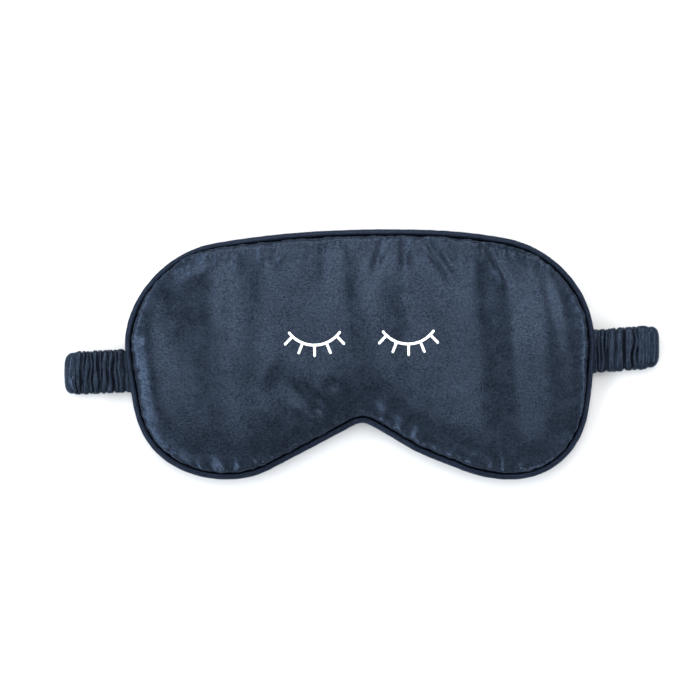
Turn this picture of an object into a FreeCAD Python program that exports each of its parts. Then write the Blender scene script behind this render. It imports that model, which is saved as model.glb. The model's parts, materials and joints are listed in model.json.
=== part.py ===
"""Padded satin sleep eye mask with a piped edge and a gathered elastic head strap.

The mask lies face up. X runs across the face, Y from the nose edge to the brow edge, +Z out of the
front. The origin is on the mask's centre line, level with the strap, on the surface that the strap
rests on. Every left-hand piece is drawn at -X, and its right-hand twin is a mirror of it. The strap's
back run lies flat under the mask. Each side folds back over itself and ends in the mask's side seam.
"""

import math
import os

import FreeCAD
import Part
import Sketcher

Vector = FreeCAD.Vector

DIMENSIONS = [
    # outline of the finished edge, the outside of the piping
    ("half_width", 100.0),
    ("brow_height", 55.8),
    ("brow_radius", 388.0),
    ("shoulder_radius", 45.0),
    ("side_radius", 210.0),
    ("lobe_offset", 59.0),
    ("lobe_radius", 39.0),
    ("lobe_drop", 51.8),
    ("nose_drop", 27.0),
    ("nose_radius", 7.0),
    ("fold_gap", 0.15),
    # layers of the mask
    ("seam_height", 8.0),
    ("cloth", 0.5),
    ("clearance", 0.15),
    ("touch_gap", 0.05),
    ("front_crown", 7.8),
    ("front_run", 18.0),
    ("back_rim", 6.6),
    ("back_depth", 3.3),
    ("back_run", 14.0),
    ("liner_thickness", 0.4),
    ("rear_pad_inset", 7.0),
    # piped edge
    ("piping_radius", 1.6),
    ("cord_radius", 1.15),
    ("bias_tape", 0.4),
    ("flange_width", 4.5),
    # strap, lying flat and relaxed
    ("strap_width", 18.4),
    ("strap_thickness", 3.0),
    ("layer_gap", 0.3),
    ("strap_edge_round", 1.0),
    ("back_run_half", 89.7),
    ("lower_split", 108.0),
    ("fold_axis_x", 125.5),
    ("upper_split", 115.0),
    ("leg_end", 98.8),
    ("segment_gap", 0.05),
    ("fold_end_gap", 0.3),
    ("knuckle_clearance", 0.1),
    ("elastic_width", 12.0),
    ("elastic_thickness", 1.0),
    ("tunnel_play", 0.25),
    ("elastic_setback", 2.2),
    # sewn ends of the strap
    ("tab_outer", 95.6),
    ("tab_inner", 91.0),
    ("tab_width", 15.0),
    ("tab_thickness", 0.6),
    # threads
    ("thread_radius", 0.15),
    ("stitch_length", 2.4),
    ("stitch_pitch", 4.0),
    ("stitch_inset", 1.2),
    ("tack_pitch", 1.5),
    ("tack_length", 1.9),
    ("tack_inset", 1.15),
    # printed motif, a closed eye on each half
    ("eye_offset", 20.0),
    ("eye_height", 20.0),
    ("lid_radius", 14.0),
    ("lid_half_chord", 11.5),
    ("lid_line", 1.1),
    ("lash_length", 4.5),
    ("lash_count", 5.0),
    ("lash_span", 88.0),
    ("print_thickness", 0.12),
]

SECTION_ANGLES = (0.0, 18.0, 36.0, 54.0, 72.0, 90.0)
CUT_OVERRUN = 1.0
LONG_EDGE = 4.0
TOLERANCE = 1e-6

doc = FreeCAD.newDocument("sleep_eye_mask")
sheet = doc.addObject("Spreadsheet::Sheet", "Sizes")
parts = {}


def fill_sheet():
    for row, (alias, value) in enumerate(DIMENSIONS, start=1):
        sheet.set(f"A{row}", alias)
        sheet.set(f"B{row}", str(value))
        sheet.setAlias(f"B{row}", alias)
    doc.recompute()


def size(alias):
    return float(sheet.get(alias))


def cells(expression):
    """The expression with each dimension name written as a reference to its cell."""
    for alias in sorted((name for name, _ in DIMENSIONS), key=len, reverse=True):
        expression = expression.replace(f"[{alias}]", f"Sizes.{alias}")
    return expression


def value(expression):
    """The number that an expression of dimension names gives now."""
    for alias, _ in DIMENSIONS:
        expression = expression.replace(f"[{alias}]", repr(size(alias)))
    total = FreeCAD.Units.Quantity(expression)
    return total.Value


def bind(item, prop, expression):
    item.setExpression(prop, cells(expression))


# ---------------------------------------------------------------- outline

def circle_crossing(c1, r1, c2, r2, prefer):
    """The crossing of two circles that scores highest with prefer."""
    between = c2 - c1
    along = (r1 * r1 - r2 * r2 + between.Length**2) / (2 * between.Length)
    across = math.sqrt(max(r1 * r1 - along * along, 0.0))
    unit = between / between.Length
    normal = Vector(-unit.y, unit.x, 0)
    return max((c1 + unit * along + normal * across, c1 + unit * along - normal * across), key=prefer)


def half_outline(inset, edge_x):
    """The left half of the edge, inset inwards and cut at x = edge_x.

    Each arc is (centre, radius, start angle, end angle), and the cheek is a line (start, end).
    Neighbouring arcs are tangent, so an inset changes only the radii, and not where the centres are.
    """
    brow_r, shoulder_r = size("brow_radius"), size("shoulder_radius")
    side_r, lobe_r, nose_r = size("side_radius"), size("lobe_radius"), size("nose_radius")
    brow_c = Vector(0, size("brow_height") - brow_r, 0)
    shoulder_x = -(size("half_width") - shoulder_r)
    shoulder_y = brow_c.y + math.sqrt((brow_r - shoulder_r) ** 2 - shoulder_x**2)
    shoulder_c = Vector(shoulder_x, shoulder_y, 0)
    lobe_c = Vector(-size("lobe_offset"), lobe_r - size("lobe_drop"), 0)
    side_c = circle_crossing(shoulder_c, side_r - shoulder_r, lobe_c, side_r - lobe_r, lambda p: p.x)
    nose_c = Vector(0, -size("nose_drop") - nose_r, 0)

    def angle(centre, point):
        return math.atan2(point.y - centre.y, point.x - centre.x) % (2 * math.pi)

    brow_shoulder = angle(brow_c, shoulder_c)
    shoulder_side = angle(side_c, shoulder_c)
    side_lobe = angle(side_c, lobe_c)
    to_lobe = lobe_c - nose_c
    leave = math.acos((lobe_r + nose_r) / to_lobe.Length)
    cheek_nose = math.atan2(to_lobe.y, to_lobe.x) - leave
    lobe_cheek = cheek_nose + math.pi
    normal = Vector(math.cos(cheek_nose), math.sin(cheek_nose), 0)
    brow_start = math.acos((edge_x - brow_c.x) / (brow_r - inset))
    nose_start = math.acos((edge_x - nose_c.x) / (nose_r + inset))
    return {
        "brow": (brow_c, brow_r - inset, brow_start, brow_shoulder),
        "shoulder": (shoulder_c, shoulder_r - inset, brow_shoulder, shoulder_side),
        "side": (side_c, side_r - inset, shoulder_side, side_lobe),
        "lobe": (lobe_c, lobe_r - inset, side_lobe, lobe_cheek),
        "cheek": (lobe_c - normal * (lobe_r - inset), nose_c + normal * (nose_r + inset)),
        "nose": (nose_c, nose_r + inset, nose_start, cheek_nose),
    }


def origin_plane(body, role):
    return next(item for item in body.Origin.OriginFeatures if item.Role == role)


def new_body(label):
    body = doc.addObject("PartDesign::Body", label)
    body.Label = label
    parts[label] = body
    return body


def new_sketch(body, name, role, lift="0"):
    """A sketch on one of the body's own origin planes, lifted along the plane's normal."""
    sketch = body.newObject("Sketcher::SketchObject", name)
    sketch.AttachmentSupport = [(origin_plane(body, role), "")]
    sketch.MapMode = "FlatFace"
    bind(sketch, ".AttachmentOffset.Base.z", lift)
    return sketch


def name_and_bind(sketch, index, name, expression):
    sketch.renameConstraint(index, name)
    bind(sketch, f"Constraints.{name}", expression)


def add_dimensions(sketch, rows):
    """Adds dimensional constraints, each named and bound to the sheet: (kind, ends, expression, name)."""
    for kind, ends, expression, name in rows:
        index = sketch.addConstraint(Sketcher.Constraint(kind, *ends, value(expression)))
        name_and_bind(sketch, index, name, expression)


def outline_sketch(body, name, inset, lift, closed=True, overrun=0.0):
    """Half of the mask's edge, inset by an expression. A cutter runs past the centre line by overrun."""
    sketch = new_sketch(body, name, "XY_Plane", lift)
    edge_x = overrun if overrun else -size("fold_gap")
    shape = half_outline(value(inset), edge_x)
    index = {}
    for key in ("brow", "shoulder", "side", "lobe"):
        centre, radius, start, end = shape[key]
        circle = Part.Circle(centre, Vector(0, 0, 1), radius)
        index[key] = sketch.addGeometry(Part.ArcOfCircle(circle, start, end), False)
    index["cheek"] = sketch.addGeometry(Part.LineSegment(*shape["cheek"]), False)
    centre, radius, start, end = shape["nose"]
    circle = Part.Circle(centre, Vector(0, 0, 1), radius)
    index["nose"] = sketch.addGeometry(Part.ArcOfCircle(circle, start, end), False)

    tangent = [("brow", 2, "shoulder", 1), ("shoulder", 2, "side", 1), ("side", 2, "lobe", 1)]
    tangent += [("lobe", 2, "cheek", 1), ("cheek", 2, "nose", 2)]
    rules = [Sketcher.Constraint("Tangent", index[a], p, index[b], q) for a, p, b, q in tangent]
    rules += [Sketcher.Constraint("PointOnObject", index[key], 3, -2) for key in ("brow", "nose")]
    sketch.addConstraint(rules)

    origin = (-1, 1)
    edge = str(overrun) if overrun else "[fold_gap]"
    ends = {}
    for key in ("brow", "nose"):
        start = (index[key], 1)
        ends[key] = origin + start if overrun else start + origin
    add_dimensions(sketch, [
        ("DistanceY", (index["brow"], 3) + origin, "[brow_radius] - [brow_height]", "brow_level"),
        ("DistanceX", (index["shoulder"], 3) + origin, "[half_width] - [shoulder_radius]", "shoulder_place"),
        ("DistanceX", (index["lobe"], 3) + origin, "[lobe_offset]", "lobe_place"),
        ("DistanceY", (index["lobe"], 3) + origin, "[lobe_drop] - [lobe_radius]", "lobe_level"),
        ("DistanceY", (index["nose"], 3) + origin, "[nose_drop] + [nose_radius]", "nose_level"),
        ("DistanceX", ends["brow"], edge, "brow_edge"),
        ("DistanceX", ends["nose"], edge, "nose_edge"),
    ])
    for key in ("brow", "shoulder", "side", "lobe", "nose"):
        sign = "+" if key == "nose" else "-"
        radius = f"[{key}_radius] {sign} ({inset})"
        add_dimensions(sketch, [("Radius", (index[key],), radius, f"{key}_curve")])
    if closed:
        top, bottom = sketch.getPoint(index["brow"], 1), sketch.getPoint(index["nose"], 1)
        middle = sketch.addGeometry(Part.LineSegment(bottom, top), False)
        ends = [(index["nose"], 1, middle, 1), (index["brow"], 1, middle, 2)]
        sketch.addConstraint([Sketcher.Constraint("Coincident", *pair) for pair in ends])
    return sketch


# ---------------------------------------------------------------- mask layers

def domed(body, name, kind, rim_inset, run, rim, height, overrun=0.0):
    """A loft from the rim towards a flat top, with a quarter ellipse for its side.

    A negative height hangs below the rim.
    """
    sections = []
    for number, degrees in enumerate(SECTION_ANGLES):
        inward = 1.0 - math.cos(math.radians(degrees))
        upward = math.sin(math.radians(degrees))
        inset = f"({rim_inset}) + ({run}) * {inward:.6f}"
        lift = f"({rim}) + ({height}) * {upward:.6f}"
        sections.append(outline_sketch(body, f"{name}_section_{number}", inset, lift, True, overrun))
    loft = body.newObject(f"PartDesign::{kind}Loft", name)
    loft.Profile = sections[0]
    loft.Sections = sections[1:]
    loft.Ruled = True
    doc.recompute()
    return loft


def cloth_shell(label, rim_inset, run, rim, height, inward_sign):
    """A domed panel of cloth: a full dome with a smaller one taken out of it."""
    body = new_body(label)
    domed(body, f"{label}_outside", "Additive", rim_inset, run, rim, height)
    inner_height = f"({height}) {inward_sign} [cloth]"
    inner_inset = f"({rim_inset}) + [cloth]"
    domed(body, f"{label}_inside", "Subtractive", inner_inset, run, rim, inner_height, CUT_OVERRUN)
    return body


SEAM_INSET = "2 * [piping_radius] + [touch_gap]"
FLANGE_TOP = "[seam_height] + [bias_tape] / 2"
FRONT_RIM = f"{FLANGE_TOP} + [touch_gap]"
LINER_BASE = "[seam_height] - [bias_tape] / 2 - [touch_gap] - [liner_thickness]"


def make_panels():
    cloth_shell("front_panel_left", SEAM_INSET, "[front_run]", FRONT_RIM, "[front_crown]", "-")
    cloth_shell("back_panel_left", SEAM_INSET, "[back_run]", "[back_rim]", "-[back_depth]", "+")


def make_front_padding():
    body = new_body("front_padding_left")
    base = f"{FRONT_RIM} + 2 * [thread_radius] + [touch_gap]"
    inset = f"{SEAM_INSET} + [cloth] + 4 * [clearance]"
    height = "[front_crown] - [cloth] - 2 * [thread_radius] - [clearance] - [touch_gap]"
    domed(body, "front_padding_dome", "Additive", inset, "[front_run]", base, height)


def make_rear_padding():
    """Thin wadding in the dish of the back panel, clear of the sewn strap ends."""
    body = new_body("rear_padding_left")
    top = f"{LINER_BASE} - 2 * [touch_gap]"
    inset = f"{SEAM_INSET} + [rear_pad_inset]"
    depth = f"{top} - [back_rim] + [back_depth] - [cloth] - [clearance]"
    domed(body, "rear_padding_dome", "Additive", inset, "[back_run] - [rear_pad_inset]", top, f"-({depth})")


def padded(body, name, kind, sketch, length):
    feature = body.newObject(f"PartDesign::{kind}", name)
    feature.Profile = sketch
    bind(feature, "Length", length)
    return feature


def make_liner():
    body = new_body("blackout_liner_left")
    sketch = outline_sketch(body, "liner_outline", f"{SEAM_INSET} + 2 * [clearance]", LINER_BASE)
    padded(body, "liner_sheet", "Pad", sketch, "[liner_thickness]")
    doc.recompute()


def pipe_profile(body, name, radius):
    """A circle at the brow end of the piping's path, square to the path."""
    sketch = new_sketch(body, name, "YZ_Plane", "-[fold_gap]")
    start_y = size("brow_height") - size("piping_radius")
    circle = Part.Circle(Vector(start_y, size("seam_height"), 0), Vector(0, 0, 1), value(radius))
    ring = sketch.addGeometry(circle, False)
    add_dimensions(sketch, [
        ("Radius", (ring,), radius, "tube"),
        ("DistanceX", (-1, 1, ring, 3), "[brow_height] - [piping_radius]", "path_level"),
        ("DistanceY", (-1, 1, ring, 3), "[seam_height]", "seam_level"),
    ])
    return sketch


def piped(body, name, kind, radius):
    path = outline_sketch(body, f"{name}_path", "[piping_radius]", "[seam_height]", closed=False)
    profile = pipe_profile(body, f"{name}_profile", radius)
    doc.recompute()
    pipe = body.newObject(f"PartDesign::{kind}Pipe", name)
    pipe.Profile = profile
    pipe.Spine = (path, [f"Edge{n + 1}" for n in range(len(path.Shape.Edges))])
    doc.recompute()
    return pipe


def make_piping():
    """The bias tape is a tube round the cord, with a flat flange that is sewn between the panels."""
    cover = new_body("piping_cover_left")
    flange_base = "[seam_height] - [bias_tape] / 2"
    tape_middle = "2 * [piping_radius] - [bias_tape] / 2"
    outside = outline_sketch(cover, "flange_outside", tape_middle, flange_base)
    padded(cover, "flange_sheet", "Pad", outside, "[bias_tape]")
    doc.recompute()
    flange_inset = "2 * [piping_radius] + [flange_width]"
    inside = outline_sketch(cover, "flange_inside", flange_inset, flange_base, True, CUT_OVERRUN)
    trimmed = padded(cover, "flange_trim", "Pocket", inside, "[bias_tape]")
    trimmed.Reversed = True
    doc.recompute()
    piped(cover, "tape_tube", "Additive", "[piping_radius]")
    piped(cover, "cord_channel", "Subtractive", "[cord_radius] + [touch_gap]")
    piped(new_body("piping_cord_left"), "cord", "Additive", "[cord_radius]")


# ---------------------------------------------------------------- strap

def side_profile(body, name, corners):
    """A closed polygon in the XZ plane. Each corner is a pair of expressions, bound to the sheet."""
    sketch = new_sketch(body, name, "XZ_Plane")
    points = [Vector(value(x), value(z), 0) for x, z in corners]
    count = len(points)
    for n in range(count):
        sketch.addGeometry(Part.LineSegment(points[n], points[(n + 1) % count]), False)
    sketch.addConstraint([Sketcher.Constraint("Coincident", n, 2, (n + 1) % count, 1) for n in range(count)])
    for n, (x, z) in enumerate(corners):
        for kind, number, expression in (("DistanceX", points[n].x, x), ("DistanceY", points[n].y, z)):
            ends = (-1, 1, n, 1) if number >= 0 else (n, 1, -1, 1)
            signed = expression if number >= 0 else f"-({expression})"
            add_dimensions(sketch, [(kind, ends, signed, f"corner_{n}_{kind[-1]}")])
    return sketch


def across(body, name, kind, sketch, width):
    feature = padded(body, name, kind, sketch, width)
    feature.SideType = "Symmetric"
    return feature


def fold_end(body, label, knuckle):
    """The rounded end of the fold: added to the segment that carries it, cleared from the one that turns."""
    sketch = new_sketch(body, f"{label}_knuckle", "XZ_Plane")
    axis_z = "[strap_thickness] + [layer_gap] / 2"
    radius = "[strap_thickness] / 2"
    if knuckle == "clear":
        radius += " + [knuckle_clearance]"
    centre = Vector(-size("fold_axis_x"), value(axis_z), 0)
    ring = sketch.addGeometry(Part.Circle(centre, Vector(0, 0, 1), value(radius)), False)
    add_dimensions(sketch, [
        ("Radius", (ring,), radius, "knuckle_curve"),
        ("DistanceX", (ring, 3, -1, 1), "[fold_axis_x]", "axis_place"),
        ("DistanceY", (-1, 1, ring, 3), axis_z, "axis_level"),
    ])
    kind = "Pad" if knuckle == "add" else "Pocket"
    across(body, f"{label}_knuckle_{kind.lower()}", kind, sketch, "[strap_width]")
    doc.recompute()


def sleeve_segment(label, corners, middle, knuckle=None):
    """A length of the gathered sleeve: a flat tube with rounded edges and a tunnel for the elastic."""
    body = new_body(label)
    profile = side_profile(body, f"{label}_side", corners)
    across(body, f"{label}_block", "Pad", profile, "[strap_width]")
    doc.recompute()
    if knuckle:
        fold_end(body, label, knuckle)
    round_long_edges(body, label)
    cut_tunnel(body, label, middle)
    return body


def round_long_edges(body, label):
    """Rounds the two long edges on each face of the strap."""
    half = size("strap_width") / 2
    base = body.Tip
    names = []
    for number, edge in enumerate(base.Shape.Edges, start=1):
        ends = [vertex.Point for vertex in edge.Vertexes]
        if len(ends) != 2 or edge.Curve.TypeId != "Part::GeomLine":
            continue
        run = ends[1] - ends[0]
        at_side = all(abs(abs(point.y) - half) < TOLERANCE for point in ends)
        lengthways = abs(run.y) < TOLERANCE and abs(run.z) < TOLERANCE
        if at_side and lengthways and abs(run.x) > LONG_EDGE:
            names.append(f"Edge{number}")
    fillet = body.newObject("PartDesign::Fillet", f"{label}_round")
    fillet.Base = (base, names)
    bind(fillet, "Radius", "[strap_edge_round]")
    doc.recompute()


def rectangle(sketch, left, bottom, width, height):
    """An upright rectangle, its lower left corner at left to the left of the origin and bottom above it."""
    low = Vector(-value(left), value(bottom), 0)
    wide, high = Vector(value(width), 0, 0), Vector(0, value(height), 0)
    points = [low, low + wide, low + wide + high, low + high]
    for n in range(4):
        sketch.addGeometry(Part.LineSegment(points[n], points[(n + 1) % 4]), False)
    rules = [Sketcher.Constraint("Coincident", n, 2, (n + 1) % 4, 1) for n in range(4)]
    rules += [Sketcher.Constraint("Horizontal", n) for n in (0, 2)]
    rules += [Sketcher.Constraint("Vertical", n) for n in (1, 3)]
    sketch.addConstraint(rules)
    above = value(bottom) >= 0
    level = (-1, 1, 0, 1) if above else (0, 1, -1, 1)
    add_dimensions(sketch, [
        ("DistanceX", (0, 1, 0, 2), width, "width"),
        ("DistanceX", (0, 1, -1, 1), left, "left"),
        ("DistanceY", (1, 1, 1, 2), height, "height"),
        ("DistanceY", level, bottom if above else f"-({bottom})", "bottom"),
    ])


def cut_tunnel(body, label, middle):
    sketch = new_sketch(body, f"{label}_tunnel", "YZ_Plane")
    side = "[elastic_width] / 2 + [tunnel_play]"
    floor = f"({middle}) - [elastic_thickness] / 2 - [tunnel_play]"
    rectangle(sketch, side, floor, f"2 * ({side})", "[elastic_thickness] + 2 * [tunnel_play]")
    before = body.Tip.Shape.Volume
    pocket = across(body, f"{label}_tunnel_cut", "Pocket", sketch, "4 * [half_width]")
    doc.recompute()
    if pocket.Shape.Volume >= before:
        raise RuntimeError(f"{label}: the tunnel cut nothing")


LOWER_MIDDLE = "[strap_thickness] / 2"
UPPER_MIDDLE = "1.5 * [strap_thickness] + [layer_gap]"
UPPER_BASE = "[strap_thickness] + [layer_gap]"
UPPER_TOP = "2 * [strap_thickness] + [layer_gap]"


def make_sleeves():
    top, middle = "[strap_thickness]", LOWER_MIDDLE
    run = "[back_run_half] - [segment_gap]"
    mitre = "[back_run_half] - [segment_gap] - [strap_thickness] / 2"
    back = [(f"-({run})", "0"), (run, "0"), (run, middle), (mitre, top)]
    back += [(f"-({mitre})", top), (f"-({run})", middle)]
    sleeve_segment("back_sleeve", back, LOWER_MIDDLE)

    inner = "-([back_run_half] + [segment_gap])"
    inner_top = "-([back_run_half] + [segment_gap] + [strap_thickness] / 2)"
    outer = "-([lower_split] - [segment_gap])"
    lower_inner = [(outer, "0"), (inner, "0"), (inner, middle), (inner_top, top), (outer, top)]
    sleeve_segment("lower_inner_sleeve_left", lower_inner, LOWER_MIDDLE)

    near, far = "-([lower_split] + [segment_gap])", "-([fold_axis_x] - [fold_end_gap])"
    lower_outer = [(far, "0"), (near, "0"), (near, top), (far, top)]
    sleeve_segment("lower_outer_sleeve_left", lower_outer, LOWER_MIDDLE, "add")

    near = "-([upper_split] + [segment_gap])"
    upper_outer = [(far, UPPER_BASE), (near, UPPER_BASE), (near, UPPER_TOP), (far, UPPER_TOP)]
    sleeve_segment("upper_outer_sleeve_left", upper_outer, UPPER_MIDDLE, "clear")

    near, far = "-[leg_end]", "-([upper_split] - [segment_gap])"
    upper_inner = [(far, UPPER_BASE), (near, UPPER_BASE), (near, UPPER_TOP), (far, UPPER_TOP)]
    sleeve_segment("upper_inner_sleeve_left", upper_inner, UPPER_MIDDLE)


def flat_block(label, low_x, low_y, low_z, long_x, long_y, long_z):
    block = doc.addObject("Part::Box", label)
    block.Label = label
    for prop, expression in (("Length", long_x), ("Width", long_y), ("Height", long_z)):
        bind(block, prop, expression)
    for axis, expression in (("x", low_x), ("y", low_y), ("z", low_z)):
        bind(block, f".Placement.Base.{axis}", expression)
    parts[label] = block
    return block


def make_elastics():
    """One elastic band, cut where the strap bends.

    Each side length runs through two sleeves, and slides in one of them.
    """
    side = ("-[elastic_width] / 2", "[elastic_width]", "[elastic_thickness]")
    lower_z = f"{LOWER_MIDDLE} - [elastic_thickness] / 2"
    upper_z = f"{UPPER_MIDDLE} - [elastic_thickness] / 2"
    half = "([back_run_half] - [elastic_setback])"
    flat_block("back_elastic", f"-{half}", side[0], lower_z, f"2 * {half}", side[1], side[2])
    outer = "([fold_axis_x] - [elastic_setback])"
    lower = f"{outer} - [back_run_half] - [elastic_setback]"
    flat_block("lower_elastic_left", f"-{outer}", side[0], lower_z, lower, side[1], side[2])
    upper = f"{outer} - [leg_end] - [elastic_setback] / 2"
    flat_block("upper_elastic_left", f"-{outer}", side[0], upper_z, upper, side[1], side[2])


TAB_BASE = "[back_rim] + [touch_gap]"


def make_strap_tab():
    long_x = "[tab_outer] - [tab_inner]"
    low_y = "-[tab_width] / 2"
    flat_block("strap_tab_left", "-[tab_outer]", low_y, TAB_BASE, long_x, "[tab_width]", "[tab_thickness]")


# ---------------------------------------------------------------- threads and print

def thread(start, end):
    """One stitch: a straight length of thread with rounded ends."""
    radius = size("thread_radius")
    direction = end - start
    rod = Part.makeCylinder(radius, direction.Length, start, direction)
    return rod.fuse([Part.makeSphere(radius, start), Part.makeSphere(radius, end)]).removeSplitter()


def outline_wire(inset, height):
    """Half of the edge as one wire, for laying stitches along."""
    shape = half_outline(inset, -size("fold_gap"))
    lift = Vector(0, 0, height)
    edges = []
    for key in ("brow", "shoulder", "side", "lobe", "cheek", "nose"):
        if key == "cheek":
            edges.append(Part.makeLine(*[point + lift for point in shape[key]]))
            continue
        centre, radius, start, end = shape[key]
        circle = Part.Circle(centre + lift, Vector(0, 0, 1), radius)
        edges.append(Part.ArcOfCircle(circle, start, end).toShape())
    return Part.Wire(edges)


def make_seam_stitches():
    """The row of stitches that closes the seam, lying on the piping's flange inside the mask."""
    inset = value(f"{SEAM_INSET} + [stitch_inset]")
    height = value(f"{FRONT_RIM} + [thread_radius]")
    wire = outline_wire(inset, height)
    count = int(wire.Length / size("stitch_pitch"))
    points = wire.discretize(Number=2 * count + 1)
    stitches = []
    for n in range(count):
        middle = points[2 * n + 1]
        along = points[2 * n + 2] - points[2 * n]
        reach = along / along.Length * (size("stitch_length") / 2 - size("thread_radius"))
        stitches.append(thread(middle - reach, middle + reach))
    keep_shape("seam_stitches_left", Part.makeCompound(stitches))


def make_tacks():
    """Two rows of bar tacks under the sewn end of the strap."""
    height = value(f"{TAB_BASE} - [thread_radius] - [touch_gap] / 2")
    count = int((size("tab_width") - 2 * size("stitch_inset")) / size("tack_pitch"))
    reach = size("tack_length") / 2 - size("thread_radius")
    stitches = []
    for row_x in (size("tab_outer") - size("tack_inset"), size("tab_inner") + size("tack_inset")):
        for n in range(count + 1):
            y = (n - count / 2) * size("tack_pitch")
            stitches.append(thread(Vector(-row_x - reach, y, height), Vector(-row_x + reach, y, height)))
    keep_shape("strap_tacks_left", Part.makeCompound(stitches))


def keep_shape(label, shape):
    feature = doc.addObject("Part::Feature", label)
    feature.Label = label
    feature.Shape = shape
    feature.Placement = FreeCAD.Placement()
    parts[label] = feature


def eye_sketch(body, name):
    """A sketch just above the flat top of the front panel, centred on one eye."""
    height = f"{FRONT_RIM} + [front_crown] + [touch_gap]"
    sketch = new_sketch(body, name, "XY_Plane", height)
    bind(sketch, ".AttachmentOffset.Base.x", "-[eye_offset]")
    bind(sketch, ".AttachmentOffset.Base.y", "[eye_height]")
    return sketch


def draw_lid(sketch):
    """The eyelid line: two concentric arcs closed by short radial ends."""
    outer, inner = size("lid_radius"), size("lid_radius") - size("lid_line")
    half_span = math.asin(size("lid_half_chord") / outer)
    start, end = 1.5 * math.pi - half_span, 1.5 * math.pi + half_span
    for radius in (outer, inner):
        circle = Part.Circle(Vector(0, 0, 0), Vector(0, 0, 1), radius)
        sketch.addGeometry(Part.ArcOfCircle(circle, start, end), False)
    for angle in (start, end):
        out = Vector(math.cos(angle), math.sin(angle), 0)
        sketch.addGeometry(Part.LineSegment(out * outer, out * inner), False)
    pairs = [(0, 3, -1, 1), (1, 3, -1, 1), (0, 1, 2, 1), (1, 1, 2, 2), (0, 2, 3, 1), (1, 2, 3, 2)]
    rules = [Sketcher.Constraint("Coincident", *pair) for pair in pairs]
    rules += [Sketcher.Constraint("PointOnObject", -1, 1, n) for n in (2, 3)]
    rules.append(Sketcher.Constraint("Symmetric", 0, 1, 0, 2, -2))
    sketch.addConstraint(rules)
    add_dimensions(sketch, [
        ("Radius", (0,), "[lid_radius]", "outer_curve"),
        ("Radius", (1,), "[lid_radius] - [lid_line]", "inner_curve"),
        ("DistanceX", (0, 1, 0, 2), "2 * [lid_half_chord]", "chord"),
    ])


def make_print():
    """A closed eye: a curved lid line with a fan of lashes, as one film on the front panel."""
    body = new_body("eye_print_left")
    lid = eye_sketch(body, "lid_outline")
    draw_lid(lid)
    padded(body, "lid_film", "Pad", lid, "[print_thickness]")
    doc.recompute()
    lash = eye_sketch(body, "lash_outline")
    bind(lash, ".AttachmentOffset.Rotation.Angle", "-[lash_span] / 2")
    length = "[lash_length] + [lid_line] / 2"
    rectangle(lash, "[lid_line] / 2", "-[lid_radius] - [lash_length]", "[lid_line]", length)
    film = padded(body, "lash_film", "Pad", lash, "[print_thickness]")
    doc.recompute()
    fan = body.newObject("PartDesign::PolarPattern", "lash_fan")
    fan.Originals = [film]
    fan.Axis = (lash, ["N_Axis"])
    bind(fan, "Angle", "[lash_span]")
    bind(fan, "Occurrences", "[lash_count]")
    body.Tip = fan
    doc.recompute()


# ---------------------------------------------------------------- right-hand twins, checks and files

def mirror_left_parts():
    for label in [name for name in parts if name.endswith("_left")]:
        twin = label.replace("_left", "_right")
        mirror = doc.addObject("Part::Mirroring", twin)
        mirror.Label = twin
        mirror.Source = parts[label]
        mirror.Base = Vector(0, 0, 0)
        mirror.Normal = Vector(1, 0, 0)
        parts[twin] = mirror
    doc.recompute()


def check_document():
    for item in doc.Objects:
        if "Invalid" in item.State or "Error" in item.State:
            raise RuntimeError(f"{item.Label} did not rebuild: {item.State}")
    for label, item in parts.items():
        shape = item.Shape
        if shape.isNull() or not shape.isValid() or not shape.Solids:
            raise RuntimeError(f"{label} has no valid solid")


def write_parts():
    os.makedirs("parts", exist_ok=True)
    for label, item in parts.items():
        item.Shape.exportStep(os.path.join("parts", label + ".step"))
        print(f"{label}: {len(item.Shape.Solids)} solid(s), {item.Shape.Volume:.1f} mm3")


fill_sheet()
make_panels()
make_front_padding()
make_liner()
make_rear_padding()
make_piping()
make_sleeves()
make_elastics()
make_strap_tab()
make_seam_stitches()
make_tacks()
make_print()
mirror_left_parts()
check_document()
write_parts()
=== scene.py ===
"""Looks of the padded satin sleep eye mask: cloth, piping, gathered strap, print, light and camera.

Lengths are millimetres in the row's frame, and become metres where a mesh is made. The materials, the
lights and the camera are in metres.
"""

import bmesh
import bpy
import json
import math

import numpy as np
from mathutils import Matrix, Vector, geometry, noise
from mathutils.bvhtree import BVHTree
from mathutils.kdtree import KDTree


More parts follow.
